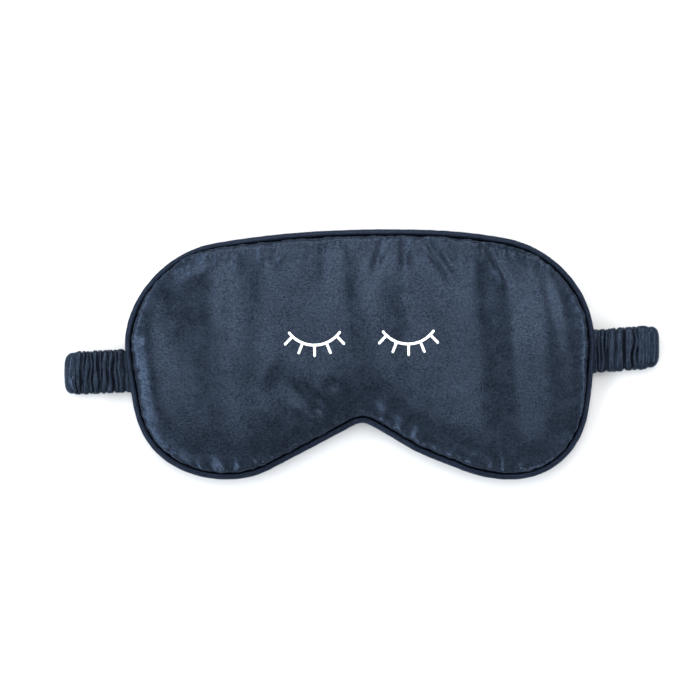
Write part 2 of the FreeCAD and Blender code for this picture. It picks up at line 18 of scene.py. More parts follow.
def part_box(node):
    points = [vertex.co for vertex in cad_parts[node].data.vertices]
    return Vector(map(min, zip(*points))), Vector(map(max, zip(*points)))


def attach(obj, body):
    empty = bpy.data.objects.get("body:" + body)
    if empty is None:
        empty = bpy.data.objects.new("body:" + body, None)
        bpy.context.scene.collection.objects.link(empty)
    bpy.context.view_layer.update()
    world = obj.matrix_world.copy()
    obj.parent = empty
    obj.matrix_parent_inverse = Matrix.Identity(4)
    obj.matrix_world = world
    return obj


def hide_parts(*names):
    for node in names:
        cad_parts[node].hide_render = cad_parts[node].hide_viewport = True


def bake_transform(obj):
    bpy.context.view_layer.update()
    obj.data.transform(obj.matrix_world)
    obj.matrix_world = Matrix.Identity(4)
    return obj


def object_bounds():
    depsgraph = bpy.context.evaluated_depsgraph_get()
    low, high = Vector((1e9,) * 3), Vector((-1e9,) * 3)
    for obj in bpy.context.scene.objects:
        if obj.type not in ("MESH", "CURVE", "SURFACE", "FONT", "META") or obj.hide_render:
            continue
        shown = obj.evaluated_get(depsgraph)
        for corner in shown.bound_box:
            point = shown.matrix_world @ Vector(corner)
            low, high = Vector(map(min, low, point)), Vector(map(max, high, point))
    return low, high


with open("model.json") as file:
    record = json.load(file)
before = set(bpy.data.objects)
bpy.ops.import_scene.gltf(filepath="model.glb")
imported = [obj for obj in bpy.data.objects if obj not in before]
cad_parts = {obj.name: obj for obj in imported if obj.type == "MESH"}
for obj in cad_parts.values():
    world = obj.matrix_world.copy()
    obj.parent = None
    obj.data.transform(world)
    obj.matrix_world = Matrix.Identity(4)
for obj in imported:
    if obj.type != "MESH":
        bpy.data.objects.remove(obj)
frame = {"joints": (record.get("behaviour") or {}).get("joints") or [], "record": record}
CAD_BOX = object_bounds()

MM = 0.001
SIGNS = {"left": -1, "right": 1}


def cad_box(node):
    low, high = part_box(node)
    return [v / MM for v in low], [v / MM for v in high]


# ---- sizes

PIPING_LOW, PIPING_HIGH = cad_box("piping_cover_left")
HALF_WIDTH = -PIPING_LOW[0]
BROW_HEIGHT = PIPING_HIGH[1]
LOBE_DROP = -PIPING_LOW[1]
SEAM_Z = (PIPING_LOW[2] + PIPING_HIGH[2]) / 2
PIPING_RADIUS = (PIPING_HIGH[2] - PIPING_LOW[2]) / 2
CORD_RADIUS = (cad_box("piping_cord_left")[1][2] - cad_box("piping_cord_left")[0][2]) / 2
CROWN_Z = cad_box("front_panel_left")[1][2]
BACK_Z = cad_box("back_panel_left")[0][2]
BACK_RIM_Z = cad_box("back_panel_left")[1][2]

# radii of the edge's arcs, as on the CAD outline
BROW_RADIUS = 388.0
SHOULDER_RADIUS = 45.0
SIDE_RADIUS = 210.0
LOBE_OFFSET = 59.0
LOBE_RADIUS = 39.0
NOSE_DROP = 27.0
NOSE_RADIUS = 7.0
EDGE_STEP = 0.4

SEAM_INSET = 2 * PIPING_RADIUS - 0.1
CLOTH = 0.4

# how the soft mask lies out of true: a turn, and where its edge is tugged aside (place, reach, shift)
LIE_TURN = 0.01
LIE_SHIFT = 0.8
TUGS = (
    ((-58, -52), 22, (1.2, 1.1)),
    ((60, -52), 20, (3.0, 0.3)),
    ((92, -30), 26, (-0.4, -3.2)),
    ((50, 54), 34, (-1.1, 1.2)),
    ((-98, 10), 24, (-1.4, 0.2)),
    ((24, -38), 14, (-0.9, -1.0)),
    ((-85, -42), 18, (-1.1, 0.5)),
)


# ---- outline

def circle_crossing(c1, r1, c2, r2):
    """The right-hand crossing of two circles."""
    between = c2 - c1
    along = (r1 * r1 - r2 * r2 + between.length_squared) / (2 * between.length)
    across = math.sqrt(max(r1 * r1 - along * along, 0.0))
    unit = between.normalized()
    normal = Vector((-unit.y, unit.x))
    foot = c1 + unit * along
    return max((foot + normal * across, foot - normal * across), key=lambda p: p.x)


def heading(centre, point):
    return math.atan2(point.y - centre.y, point.x - centre.x) % (2 * math.pi)


def arc(centre, radius, start, end, step=EDGE_STEP):
    count = max(3, int(abs(end - start) * radius / step))
    angles = [start + (end - start) * n / count for n in range(count)]
    return [centre + Vector((math.cos(a), math.sin(a))) * radius for a in angles]


def half_outline(inset):
    """The left half of the edge, from the middle of the brow round the lobe to that of the nose notch."""
    brow = Vector((0, BROW_HEIGHT - BROW_RADIUS))
    shoulder_x = SHOULDER_RADIUS - HALF_WIDTH
    shoulder_rise = math.sqrt((BROW_RADIUS - SHOULDER_RADIUS) ** 2 - shoulder_x**2)
    shoulder = Vector((shoulder_x, brow.y + shoulder_rise))
    lobe = Vector((-LOBE_OFFSET, LOBE_RADIUS - LOBE_DROP))
    side = circle_crossing(shoulder, SIDE_RADIUS - SHOULDER_RADIUS, lobe, SIDE_RADIUS - LOBE_RADIUS)
    nose = Vector((0, -NOSE_DROP - NOSE_RADIUS))
    cheek = heading(nose, lobe) - math.acos((LOBE_RADIUS + NOSE_RADIUS) / (lobe - nose).length)
    shoulder_start = heading(brow, shoulder)
    shoulder_end = heading(side, shoulder)
    side_end = heading(side, lobe)
    points = arc(brow, BROW_RADIUS - inset, math.pi / 2, shoulder_start)
    points += arc(shoulder, SHOULDER_RADIUS - inset, shoulder_start, shoulder_end)
    points += arc(side, SIDE_RADIUS - inset, shoulder_end, side_end)
    points += arc(lobe, LOBE_RADIUS - inset, side_end, cheek + math.pi)
    normal = Vector((math.cos(cheek), math.sin(cheek)))
    start = lobe - normal * (LOBE_RADIUS - inset)
    end = nose + normal * (NOSE_RADIUS + inset)
    count = int((end - start).length / EDGE_STEP)
    points += [start.lerp(end, n / count) for n in range(count)]
    points += arc(nose, NOSE_RADIUS + inset, cheek, math.pi / 2)
    return points + [nose + Vector((0, NOSE_RADIUS + inset))]


def outline(inset, spacing):
    """The whole edge as evenly spaced points, anticlockwise from the brow's middle."""
    left = half_outline(inset)
    right = [Vector((-p.x, p.y)) for p in reversed(left[1:-1])]
    points = np.array([tuple(p) for p in left + right + left[:1]])
    length = np.concatenate([[0], np.cumsum(np.linalg.norm(np.diff(points, axis=0), axis=1))])
    places = np.linspace(0, length[-1], int(round(length[-1] / spacing)), endpoint=False)
    return np.stack([np.interp(places, length, points[:, k]) for k in (0, 1)], axis=1)


def inward_of(loop):
    """The inward direction at each point of an anticlockwise loop."""
    ahead = np.roll(loop, -1, axis=0) - np.roll(loop, 1, axis=0)
    ahead /= np.linalg.norm(ahead, axis=1)[:, None]
    return np.column_stack([-ahead[:, 1], ahead[:, 0]])


EDGE = outline(SEAM_INSET, 0.2)
EDGE_INWARD = inward_of(EDGE)
EDGE_TREE = KDTree(len(EDGE))
for number, place in enumerate(EDGE):
    EDGE_TREE.insert((*place, 0), number)
EDGE_TREE.balance()


def seam_distance(points):
    """How far inside the seam line each point is, in plan."""
    distances = []
    for point in points:
        _, nearest, away = EDGE_TREE.find((*point, 0))
        inside = (point - EDGE[nearest]) @ EDGE_INWARD[nearest] > 0
        distances.append(away if inside else -away)
    return np.array(distances)


def seam_outward(points):
    """The direction from each point to the seam line, in plan, or zero on it."""
    away = np.array([EDGE[EDGE_TREE.find((*point, 0))[1]] - point for point in points])
    return away / np.maximum(np.linalg.norm(away, axis=1), 0.05)[:, None]


def smooth(value, low, high):
    t = np.clip((value - low) / (high - low), 0, 1)
    return t * t * (3 - 2 * t)


def noise_at(*place):
    """Smooth noise from -1 to 1 at the places that x, y and z give, as numbers or arrays."""
    return np.array([noise.noise(Vector(one)) for one in np.broadcast(*place)])


def lie(points):
    """The slightly uneven way the mask lies on the table."""
    x, y = points[:, 0], points[:, 1]
    moved = points.copy()
    moved[:, 0] += LIE_SHIFT - LIE_TURN * y
    moved[:, 1] += LIE_TURN * x
    for place, reach, shift in TUGS:
        weight = np.exp(-((x - place[0]) ** 2 + (y - place[1]) ** 2) / reach**2)
        moved[:, :2] += weight[:, None] * shift
    return moved


# ---- meshes

# the materials by name. A piece's material has the name of the piece's slot
LOOKS = {}


def add_object(name, data):
    obj = bpy.data.objects.new(name, data)
    bpy.context.scene.collection.objects.link(obj)
    return obj


def mesh_object(name, points, faces, slot, closed=True):
    """A smooth mesh in metres from points in millimetres, in the look of its slot.

    It has a plain map of X and Y for the weave's direction.
    """
    mesh = bpy.data.meshes.new(name)
    places = [tuple(float(c) * MM for c in p) for p in points]
    mesh.from_pydata(places, [], [tuple(map(int, f)) for f in faces])
    mesh.validate()
    if closed:
        face_outwards(mesh)
    mesh.polygons.foreach_set("use_smooth", [True] * len(mesh.polygons))
    crease_end_caps(mesh)
    layer = mesh.uv_layers.new(name="cloth")
    for loop in mesh.loops:
        co = mesh.vertices[loop.vertex_index].co
        layer.data[loop.index].uv = (co.x, co.y)
    mesh.materials.append(LOOKS[slot])
    return add_object(name, mesh)


def face_outwards(mesh):
    editable = bmesh.new()
    editable.from_mesh(mesh)
    bmesh.ops.recalc_face_normals(editable, faces=editable.faces)
    editable.to_mesh(mesh)
    editable.free()


def crease_end_caps(mesh):
    """Sharpens the edges round the flat ends of tubes, so that the tubes shade smoothly."""
    caps = [polygon for polygon in mesh.polygons if len(polygon.vertices) > 4]
    sharp = {key for polygon in caps for key in polygon.edge_keys}
    for polygon in caps:
        polygon.use_smooth = False
    for edge in mesh.edges:
        if edge.key in sharp:
            edge.use_edge_sharp = True


def sheet_mesh(spacing, inset=SEAM_INSET, rows=(0.0,)):
    """Points and triangles that fill the inset edge, and how many points its rim has.

    The rim comes first, then the rows along it, then an even grid.
    """
    loops = [outline(inset + row, spacing) for row in rows]
    rim = loops[0]
    lines = np.arange(-LOBE_DROP, BROW_HEIGHT, spacing * math.sqrt(3) / 2)
    columns = np.arange(-HALF_WIDTH, HALF_WIDTH, spacing)
    grid = np.array([(x + spacing / 2 * (n % 2), y) for n, y in enumerate(lines) for x in columns])
    grid = grid[seam_distance(grid) > inset - SEAM_INSET + rows[-1] + 0.7 * spacing]
    points = [Vector(p) for p in np.vstack([*loops, grid])]
    edges = [(n, (n + 1) % len(rim)) for n in range(len(rim))]
    made, _, faces, _, _, _ = geometry.delaunay_2d_cdt(points, edges, [list(range(len(rim)))], 1, 1e-4)
    return np.array([tuple(p) for p in made]), [tuple(f) for f in faces], len(rim)


# ---- cloth simulation

SIM_SCALE = 20.0
SIM_FRAMES = 26


def inflate(name, points, faces, rim_count, pressure, excess):
    """Blows a sheet up from its pinned rim with Blender's cloth, and returns the new points.

    The simulation runs at SIM_SCALE times the real size, where the solver's own constants suit cloth.
    """
    mesh = bpy.data.meshes.new(name)
    mesh.from_pydata([tuple(float(c) * MM * SIM_SCALE for c in p) for p in points], [], faces)
    obj = add_object(name, mesh)
    pin = obj.vertex_groups.new(name="pin")
    pin.add(list(range(rim_count)), 1.0, "REPLACE")
    cloth = obj.modifiers.new("cloth", "CLOTH")
    settings = cloth.settings
    settings.quality = 6
    settings.mass = 0.02
    settings.tension_stiffness = 20
    settings.compression_stiffness = 20
    settings.shear_stiffness = 10
    settings.bending_stiffness = 0.05
    settings.air_damping = 2
    settings.vertex_group_mass = "pin"
    settings.shrink_min = -excess
    settings.use_pressure = True
    settings.uniform_pressure_force = pressure
    settings.effector_weights.gravity = 0
    cloth.collision_settings.use_collision = False
    cloth.point_cache.frame_start = 1
    cloth.point_cache.frame_end = SIM_FRAMES
    scene = bpy.context.scene
    for number in range(1, SIM_FRAMES + 1):
        scene.frame_set(number)
    evaluated = obj.evaluated_get(bpy.context.evaluated_depsgraph_get())
    flat = np.empty(len(points) * 3)
    evaluated.data.vertices.foreach_get("co", flat)
    bpy.data.objects.remove(obj)
    bpy.data.meshes.remove(mesh)
    scene.frame_set(1)
    return flat.reshape(-1, 3) / (MM * SIM_SCALE)


# ---- front and back panels

SHEET_SPACING = 1.5
RIM_ROWS = (0.0, 0.45, 1.0, 1.7, 2.6, 3.8)
FRONT_LIFT = 0.3
WALL_RUN = 1.2
RIM_SLOPE = 0.48
RIM_REACH = 6.8
CROWN_SLOPE = 0.073
CROWN_REACH = 22.0
BACK_RUN = 12.0
STRAP_HOLLOW = 0.55
PAD_CLEAR = 2.0
PAD_GAP = 0.3
LUMP_SIZE = 21.0
LUMP_HEIGHT = 1.1
LUMP_STRETCH = 2.2
FINE_LUMP_SIZE = 6.0
FINE_LUMP_HEIGHT = 0.05
PUCKER_REACH = 9.0
PUCKER_GAIN = 0.9
PUCKER_GROUP = 24.0
PUCKER_ROUNDS = 60
OVERHANG = 0.65
OVERHANG_REACH = 6.0
LOOSE_SHOULDER = (-74, 45)
SCALLOP = 0.5
SCALLOP_SIZE = 4.0

# folds that start at the seam, by place along the mask as a share of its half width
# at the brow: place, lean, length, width, depth
BROW_FOLDS = (
    (-0.35, -0.03, 17, 1.5, 1.0),
    (0.10, -0.05, 22, 1.7, 1.3),
    (0.185, 0.01, 18, 1.4, 1.0),
    (0.27, 0.16, 27, 2.2, 1.4),
    (0.36, 0.06, 14, 1.2, 1.0),
    (0.53, 0.11, 24, 1.5, 1.3),
)
# at the lobes: place, lean, length
LOBE_FOLDS = (
    (-0.64, -0.02, 9),
    (-0.56, 0.0, 11),
    (-0.50, 0.03, 8),
    (0.52, -0.03, 9),
    (0.58, 0.0, 13),
    (0.65, 0.03, 10),
)
# at the nose: place, place of its end, length, width, depth
NOSE_FOLDS = (
    (-0.19, -0.48, 27, 3.4, 0.7),
    (-0.12, -0.28, 14, 2.6, 0.5),
    (-0.05, -0.09, 19, 2.8, 0.6),
    (0.06, 0.08, 14, 2.4, 0.6),
    (0.13, 0.15, 12, 2.1, 0.8),
    (0.20, 0.24, 10, 1.8, 0.8),
)
# at the left side: height, length, depth
SIDE_FOLDS = ((9.4, 8, 1.5), (-21.4, 9, 1.6), (-2.0, 5, 1.0))
# broad folds across the panel: the places and heights of their ends, width, depth
BROAD_FOLDS = (
    ((-0.16, -22), (-0.40, -5), 4.4, 0.9),
    ((0.78, 34), (0.90, -38), 4.0, 0.5),
    ((-0.40, 46), (-0.46, -34), 9.0, -0.5),
)
# flanks: the places and heights of their ends, width, drop, recovery
FLANKS = (((0.54, 50), (0.60, -46), 15.0, 2.3, 34.0), ((-0.66, 44), (-0.60, -46), -13.0, 1.3, 30.0))
# hollows above the nose, in millimetres: place, size, depth
DIMPLES = (((-19, -19), 2.6, 0.6), ((-13, -10), 2.4, 0.5), ((9, -13), 2.6, 0.5), ((16, -20), 2.4, 0.6))


def neighbour_average(values, pairs, rounds):
    """values averaged with their neighbours along the mesh's edges, rounds times."""
    count = len(values)
    a, b = pairs.T
    degree = np.bincount(a, minlength=count) + np.bincount(b, minlength=count)
    for _ in range(rounds):
        total = np.bincount(a, values[b], count) + np.bincount(b, values[a], count)
        values = 0.5 * values + 0.5 * total / degree
    return values


def face_edges(faces):
    found = {tuple(sorted((f[k], f[k - 1]))) for f in faces for k in range(len(f))}
    return np.array(sorted(found))


def dome(distance, run):
    """Height from 0 to 1 of a padded edge: upright at the seam, level beyond run."""
    t = 1 - np.clip(distance / run, 0, 1)
    return np.sqrt(1 - t**2)


def puffed_height(distance, crown):
    """The front's height at a distance from the seam: a short wall, a sloping rim and a level crown."""
    rim, rise = RIM_SLOPE * RIM_REACH, CROWN_SLOPE * CROWN_REACH
    slopes = rim * np.tanh(distance / RIM_REACH) + rise * np.tanh(distance / CROWN_REACH)
    return (crown - rim - rise) * dome(distance, WALL_RUN) + slopes


def along_seam_only(values, distance):
    """values less their mean at each distance from the seam."""
    row = np.round(distance).astype(int)
    mean = np.bincount(row, values) / np.maximum(np.bincount(row), 1)
    return values - np.interp(distance, np.arange(len(mean)), mean)


def lumps(points, size, seed, stretch=1.0):
    """Soft unevenness from about -1 to 1, which stretch makes longer down the mask."""
    return 1.6 * noise_at(points[:, 0] / size, points[:, 1] / (size * stretch), seed)


def crease(points, start, end, width, depth, tail=0.15):
    """A fold from start to end: a valley, or a ridge if depth is negative.

    It widens on its way and fades out from the share tail of its length.
    """
    along = np.subtract(end, start)
    length = np.linalg.norm(along)
    t = (points - start) @ along / length**2
    across = (points - start) @ (-along[1], along[0]) / length
    spread = width * (0.6 + 0.8 * np.clip(t, 0, 1))
    fade = smooth(t, -0.12, 0.12) * (1 - smooth(t, tail, 1.05))
    return -depth * fade * np.exp(-((across / spread) ** 2))


def dimple(points, place, size, depth):
    """A round hollow, or a bump if depth is negative."""
    away = np.linalg.norm(points - place, axis=1)
    return -depth * np.exp(-((away / size) ** 2))


def slope_down(points, start, end, width, drop, recovery):
    """A flank from start to end: the cloth drops across width and comes back over recovery."""
    (start_x, start_y), (end_x, end_y) = start, end
    t = np.clip((points[:, 1] - start_y) / (end_y - start_y), 0, 1)
    half = abs(width) / 2 * (0.8 + 0.6 * t)
    away = (points[:, 0] - start_x - (end_x - start_x) * t) * math.copysign(1, width)
    return -drop * smooth(away, -half, half) * (1 - smooth(away, half, half + recovery))


BROW_EDGE = EDGE[EDGE[:, 1] > 20]
LOWER_EDGE = EDGE[EDGE[:, 1] < -15]


def seam_point(place, edge):
    """The point of a stretch of the seam line at a place along the mask."""
    x = place * HALF_WIDTH
    return x, float(edge[np.abs(edge[:, 0] - x).argmin(), 1])


def front_folds(points):
    """The folds that the seam gathers into the front panel, and the broad ones across it."""
    half = HALF_WIDTH
    scale = np.array((half, 1))
    total = np.zeros(len(points))
    for place, lean, length, width, depth in BROW_FOLDS:
        x, y = seam_point(place, BROW_EDGE)
        total += crease(points, (x, y + 1.5), (x + lean * half, y - length), width, depth)
    for place, lean, length in LOBE_FOLDS:
        x, y = seam_point(place, LOWER_EDGE)
        total += crease(points, (x, y - 1.5), (x + lean * half, y + length), 1.2, 1.1)
    for place, end_place, length, width, depth in NOSE_FOLDS:
        x, y = seam_point(place, LOWER_EDGE)
        total += crease(points, (x, y + 1.0), (end_place * half, y + length), width, depth)
    for place, size, depth in DIMPLES:
        total += dimple(points, place, size, depth)
    for y, length, depth in SIDE_FOLDS:
        total += crease(points, (-0.975 * half, y), (-0.975 * half + length, y - 1.0), 1.3, depth)
    for start, end, *shape in BROAD_FOLDS:
        total += crease(points, scale * start, scale * end, *shape, tail=0.8)
    for start, end, *shape in FLANKS:
        total += slope_down(points, scale * start, scale * end, *shape)
    return total


def blown_panel(flat, faces, rim_count, distance):
    """What cloth simulation makes of the flat panel: its points in plan, and its puckers' heights."""
    generator = np.random.default_rng(7)
    ripple = np.where(distance > 0.1, generator.normal(0, 0.05, len(flat)), 0)
    start = np.column_stack([flat, 1 - np.exp(-distance / 8) + ripple])
    blown = inflate("panel_blank", start, faces, rim_count, pressure=14, excess=0.03)
    puckers = along_seam_only(blown[:, 2], distance)
    puckers -= neighbour_average(puckers, face_edges(faces), PUCKER_ROUNDS)
    return blown[:, :2], puckers


def front_height(flat, distance, puckers):
    """The front's height over its rim: the puffed shape with its lumps, puckers and folds."""
    height = puffed_height(distance, CROWN_Z - SEAM_Z - CLOTH)
    body = smooth(distance, 1.5, 12)
    height += LUMP_HEIGHT * body * lumps(flat, LUMP_SIZE, 3.0, LUMP_STRETCH)
    height += FINE_LUMP_HEIGHT * body * lumps(flat, FINE_LUMP_SIZE, 9.0)
    grouped = smooth(lumps(flat, PUCKER_GROUP, 5.0), -0.5, 0.9)
    at_seam = 1 + 1.2 * (1 - smooth(distance, 1.5, 4.0))
    height += PUCKER_GAIN * (0.35 + grouped) * at_seam * puckers * smooth(distance, 0, 1.0)
    height += front_folds(flat) * smooth(distance, 0.3, 2.5)
    return np.maximum(height, 0.3 * np.minimum(distance, 1))


def front_overhang(flat, distance, height):
    """How far the puffed front leans out over the seam, most at the loose shoulder."""
    reach = OVERHANG - dimple(flat, LOOSE_SHOULDER, 20.0, 1.0)
    bulge = reach * smooth(height, 1.0, 2.6)
    bulge += SCALLOP * lumps(flat, SCALLOP_SIZE, 17.0) * smooth(distance, 0, 0.5)
    return bulge * (1 - smooth(distance, 0.8, OVERHANG_REACH))


def back_depth(flat, distance, puckers):
    """The back's depth under its rim. It is shallow beside the strap, which swings there."""
    beside_strap = smooth(np.abs(flat[:, 0]), 86, 93) * (1 - smooth(np.abs(flat[:, 1]), 12, 18))
    depth = (BACK_RIM_Z - BACK_Z - 0.3) * dome(distance, BACK_RUN) + 0.6 * puckers
    return depth * (1 - STRAP_HOLLOW * beside_strap)


def make_panel_shapes():
    """Points of the front and back panels, and the faces they share."""
    flat, faces, rim_count = sheet_mesh(SHEET_SPACING, rows=RIM_ROWS)
    distance = seam_distance(flat)
    distance[:rim_count] = 0
    plan, puckers = blown_panel(flat, faces, rim_count, distance)
    puckers *= 1 - 0.9 * smooth(distance, 2.5, PUCKER_REACH)
    height = front_height(flat, distance, puckers)
    plan = plan + seam_outward(flat) * front_overhang(flat, distance, height)[:, None]
    front = np.column_stack([plan, SEAM_Z + FRONT_LIFT + height])
    low = np.maximum(BACK_RIM_Z - 0.1 - back_depth(flat, distance, puckers), BACK_Z + 0.02)
    back = np.column_stack([flat * (-1, 1), low])
    return front, back, faces


def cloth_sheet(name, points, faces):
    """A panel of satin: a sheet with a real thickness, laid inwards from its face."""
    obj = mesh_object(name, lie(points), faces, "satin", closed=False)
    subdivision = obj.modifiers.new("finer", "SUBSURF")
    subdivision.levels = subdivision.render_levels = 1
    thickness = obj.modifiers.new("thickness", "SOLIDIFY")
    thickness.thickness = CLOTH * MM
    thickness.offset = -1
    bpy.context.view_layer.update()
    evaluated = obj.evaluated_get(bpy.context.evaluated_depsgraph_get())
    finished = bpy.data.meshes.new_from_object(evaluated)
    obj.modifiers.clear()
    obj.data = finished
    return obj


def padding_solid(name, inset, spacing, outer_z, seam_z, slot):
    """A closed pad, inset from the seam, between a flat face at seam_z and the heights of outer_z."""
    flat, faces, rim_count = sheet_mesh(spacing, SEAM_INSET + inset)
    outer = outer_z(flat)
    count = len(flat)
    points = np.vstack([np.column_stack([flat, outer]), np.column_stack([flat, np.full(count, seam_z)])])
    ring = [(n, (n + 1) % rim_count) for n in range(rim_count)]
    inner_faces = [tuple(v + count for v in f) for f in faces]
    walls = [(a + count, b + count, b, a) for a, b in ring]
    return mesh_object(name, lie(points), list(faces) + inner_faces + walls, slot)


def surface_height(obj):
    """A function that gives the object's topmost or lowest height at points in plan."""
    mesh = obj.data
    tree = BVHTree.FromPolygons([v.co for v in mesh.vertices], [tuple(p.vertices) for p in mesh.polygons])

    def height(points, direction, missing):
        found = []
        for x, y in lie(points):
            origin = Vector((x * MM, y * MM, -direction * 0.1))
            hit = tree.ray_cast(origin, Vector((0, 0, direction)))[0]
            found.append(hit.z / MM if hit else missing)
        return np.array(found)

    return height


# ---- rings swept along the edge

def edge_frame(spacing):
    """Points along the piping's centre line, their inward direction and the distance travelled."""
    centre = outline(PIPING_RADIUS, spacing)
    return centre, inward_of(centre), np.arange(len(centre)) * spacing


def tube(rings, closed=False):
    """Points and faces of a tube from an array of rings by points by 3. It has flat ends or is closed."""
    count, around = rings.shape[:2]
    faces = [] if closed else [tuple(range(around)), tuple(range((count - 1) * around, count * around))]
    for n in range(count if closed else count - 1):
        low, high = n * around, (n + 1) % count * around
        for k in range(around):
            following = (k + 1) % around
            faces.append((low + k, high + k, high + following, low + following))
    return rings.reshape(-1, 3), faces


def tube_object(name, rings, slot="satin"):
    return mesh_object(name, *tube(np.array(rings)), slot)


def edge_tube(radius, around, spacing, ripple):
    """A tube round the whole edge. ripple(distance, angle) scales its radius."""
    centre, inward, travelled = edge_frame(spacing)
    rings = np.empty((len(centre), around, 3))
    for k in range(around):
        angle = 2 * math.pi * k / around
        reach = radius * ripple(travelled, angle)
        rings[:, k, :2] = centre + inward * (reach * math.cos(angle))[:, None]
        rings[:, k, 2] = SEAM_Z + reach * math.sin(angle)
    return tube(rings, closed=True)


def bias_ripple(distance, angle):
    """Fine slanting wrinkles, where the bias tape is stretched round the curve unevenly."""
    amount = 0.5 + 0.5 * noise_at(distance / 11, 0, 2)
    wander = noise_at(distance / 6, math.cos(angle), 5)
    slant = distance / 1.15 + 1.3 * math.cos(angle) + 2.2 * wander
    swell = 0.03 * noise_at(distance / 14, 1, 8)
    return 0.965 + swell + 0.04 * amount * np.sin(slant)


def rope_ripple(distance, angle):
    return 0.95 + 0.05 * np.abs(np.sin(1.5 * angle + distance * 1.4))


FLANGE_START = 1.2
FLANGE_END = 6.0
FLANGE_HALF = 0.15
STITCH_INSET = 1.2
STITCH_PITCH = 4
STITCH_LENGTH = 2
STITCH_LIFT = 0.3
STITCH_RADIUS = 0.15


def flange_ring():
    """The tape's flat flange, from inside the tube to past the row of stitches."""
    centre, inward, _ = edge_frame(1.5)
    profile = [(FLANGE_START, FLANGE_HALF), (FLANGE_START, -FLANGE_HALF)]
    profile += [(FLANGE_END, -FLANGE_HALF), (FLANGE_END, FLANGE_HALF)]
    rings = np.empty((len(centre), len(profile), 3))
    for k, (reach, lift) in enumerate(profile):
        rings[:, k, :2] = centre + inward * reach
        rings[:, k, 2] = SEAM_Z + lift
    return tube(rings, closed=True)


def joined(*pieces):
    """One list of points and faces from several."""
    points, faces, start = [], [], 0
    for some_points, some_faces in pieces:
        points.append(np.asarray(some_points))
        faces += [tuple(v + start for v in f) for f in some_faces]
        start += len(some_points)
    return np.vstack(points), faces


def rod(start, end, radius, around=6):
    """A short thread with tapered ends."""
    a, b = np.array(start, float), np.array(end, float)
    side = np.cross(b - a, (0, 0, 1.0))
    side /= np.linalg.norm(side)
    up = np.cross(side, b - a) / np.linalg.norm(b - a)
    angles = 2 * math.pi * np.arange(around) / around
    circle = radius * (np.outer(np.cos(angles), side) + np.outer(np.sin(angles), up))
    stations = [(0, 0.35), (0.12, 0.85), (0.5, 1.0), (0.88, 0.85), (1, 0.35)]
    return tube(np.array([a + (b - a) * share + circle * scale for share, scale in stations]))


def seam_stitch_rods():
    """The row of stitches that closes the seam, one point of the line per millimetre."""
    centre, inward, _ = edge_frame(1.0)
    line = centre + inward * (SEAM_INSET + STITCH_INSET - PIPING_RADIUS)
    pieces = []
    for n in range(0, len(line) - STITCH_PITCH + 1, STITCH_PITCH):
        ends = [(*line[n + k], SEAM_Z + STITCH_LIFT) for k in (0, STITCH_LENGTH)]
        pieces.append(rod(*ends, STITCH_RADIUS))
    return joined(*pieces)


# ---- strap

STRAP_HALF_WIDTH = (cad_box("back_sleeve")[1][1] - cad_box("back_sleeve")[0][1]) / 2
LOWER_Z = cad_box("back_sleeve")[1][2] / 2
UPPER_BASE, UPPER_TOP = (cad_box("upper_inner_sleeve_left")[n][2] for n in (0, 1))
UPPER_Z = (UPPER_BASE + UPPER_TOP) / 2
TURN_RADIUS = (UPPER_Z - LOWER_Z) / 2
TIP_X = cad_box("lower_outer_sleeve_right")[1][0]
TURN_X = TIP_X - TURN_RADIUS - LOWER_Z
TURN_LENGTH = math.pi * TURN_RADIUS
(TAB_X, _, TAB_LOW), (SEWN_X, _, TAB_HIGH) = cad_box("strap_tab_right")
TAB_Z = (TAB_LOW + TAB_HIGH) / 2
STRAP_SHIFT = -0.5
STRAP_TILT = 0.041
LEG_TILT = {"left": 0.005, "right": 0.035}
LEG_FREE_X = 98.0
CORE_THICKNESS = 0.62
GATHER_INNER = 0.8
GATHER_OUTER = 2.0
EDGE_GATHER = 1.2
CORNER_LENGTH = 2.6
TIP_ROUND = 0.8
TABLE_GAP = 0.05
TIP_BULGE = {"left": -1.0, "right": 0.7}
LOWER_SPLIT_X = 119.0
LEG_SPLIT_X = 101.0
END_X = 97.3
END_Z = 5.95
END_THINNING = 0.7
TAB_WIDTH_SHARE = 0.86
TAB_THICKNESS_SHARE = 0.2
CORD_RIB = 0.18
CORD_PITCH = 1.1
TACK_REACH = 0.9
TACK_SLANT = 0.5
TACK_DROP = 0.55
TACK_RADIUS = 0.13

LOOP_OPEN = next(joint for joint in frame["joints"] if joint["name"] == "loop_open")
HINGE_X = abs(LOOP_OPEN["pos_m"][0]) / MM
BEND_REACH = 2.9

# each side's gathers: gaps between valleys, their slant, the length of smooth cloth at the fold, and seeds
GATHERS = {
    "left": {"gap": (1.2, 2.8), "slant": 0.4, "calm": 4.5, "seed": 4532, "noise_seed": 70},
    "right": {"gap": (1.1, 3.9), "slant": 0.3, "calm": 8.5, "seed": 4481, "noise_seed": 19},
}
WIDEST_VALLEY = 2.6
VALLEY_SHARE = 0.42
VALLEY_WANDER = 0.9
CALM_SHARE = 0.25
EDGE_WAVE = 0.3
EDGE_WAVE_LENGTH = 3.1
SLEEVE_EASE = 0.2
CORNER_LOSS = 0.5
FOLD_ROOM = 0.25


def strap_drift(x):
    """How far the slightly slanting strap's middle line is from the mask's own at x."""
    right = np.maximum(x - LEG_FREE_X, 0.0) * LEG_TILT["right"]
    left = np.maximum(-x - LEG_FREE_X, 0.0) * LEG_TILT["left"]
    return STRAP_SHIFT + STRAP_TILT * x + (right - left)


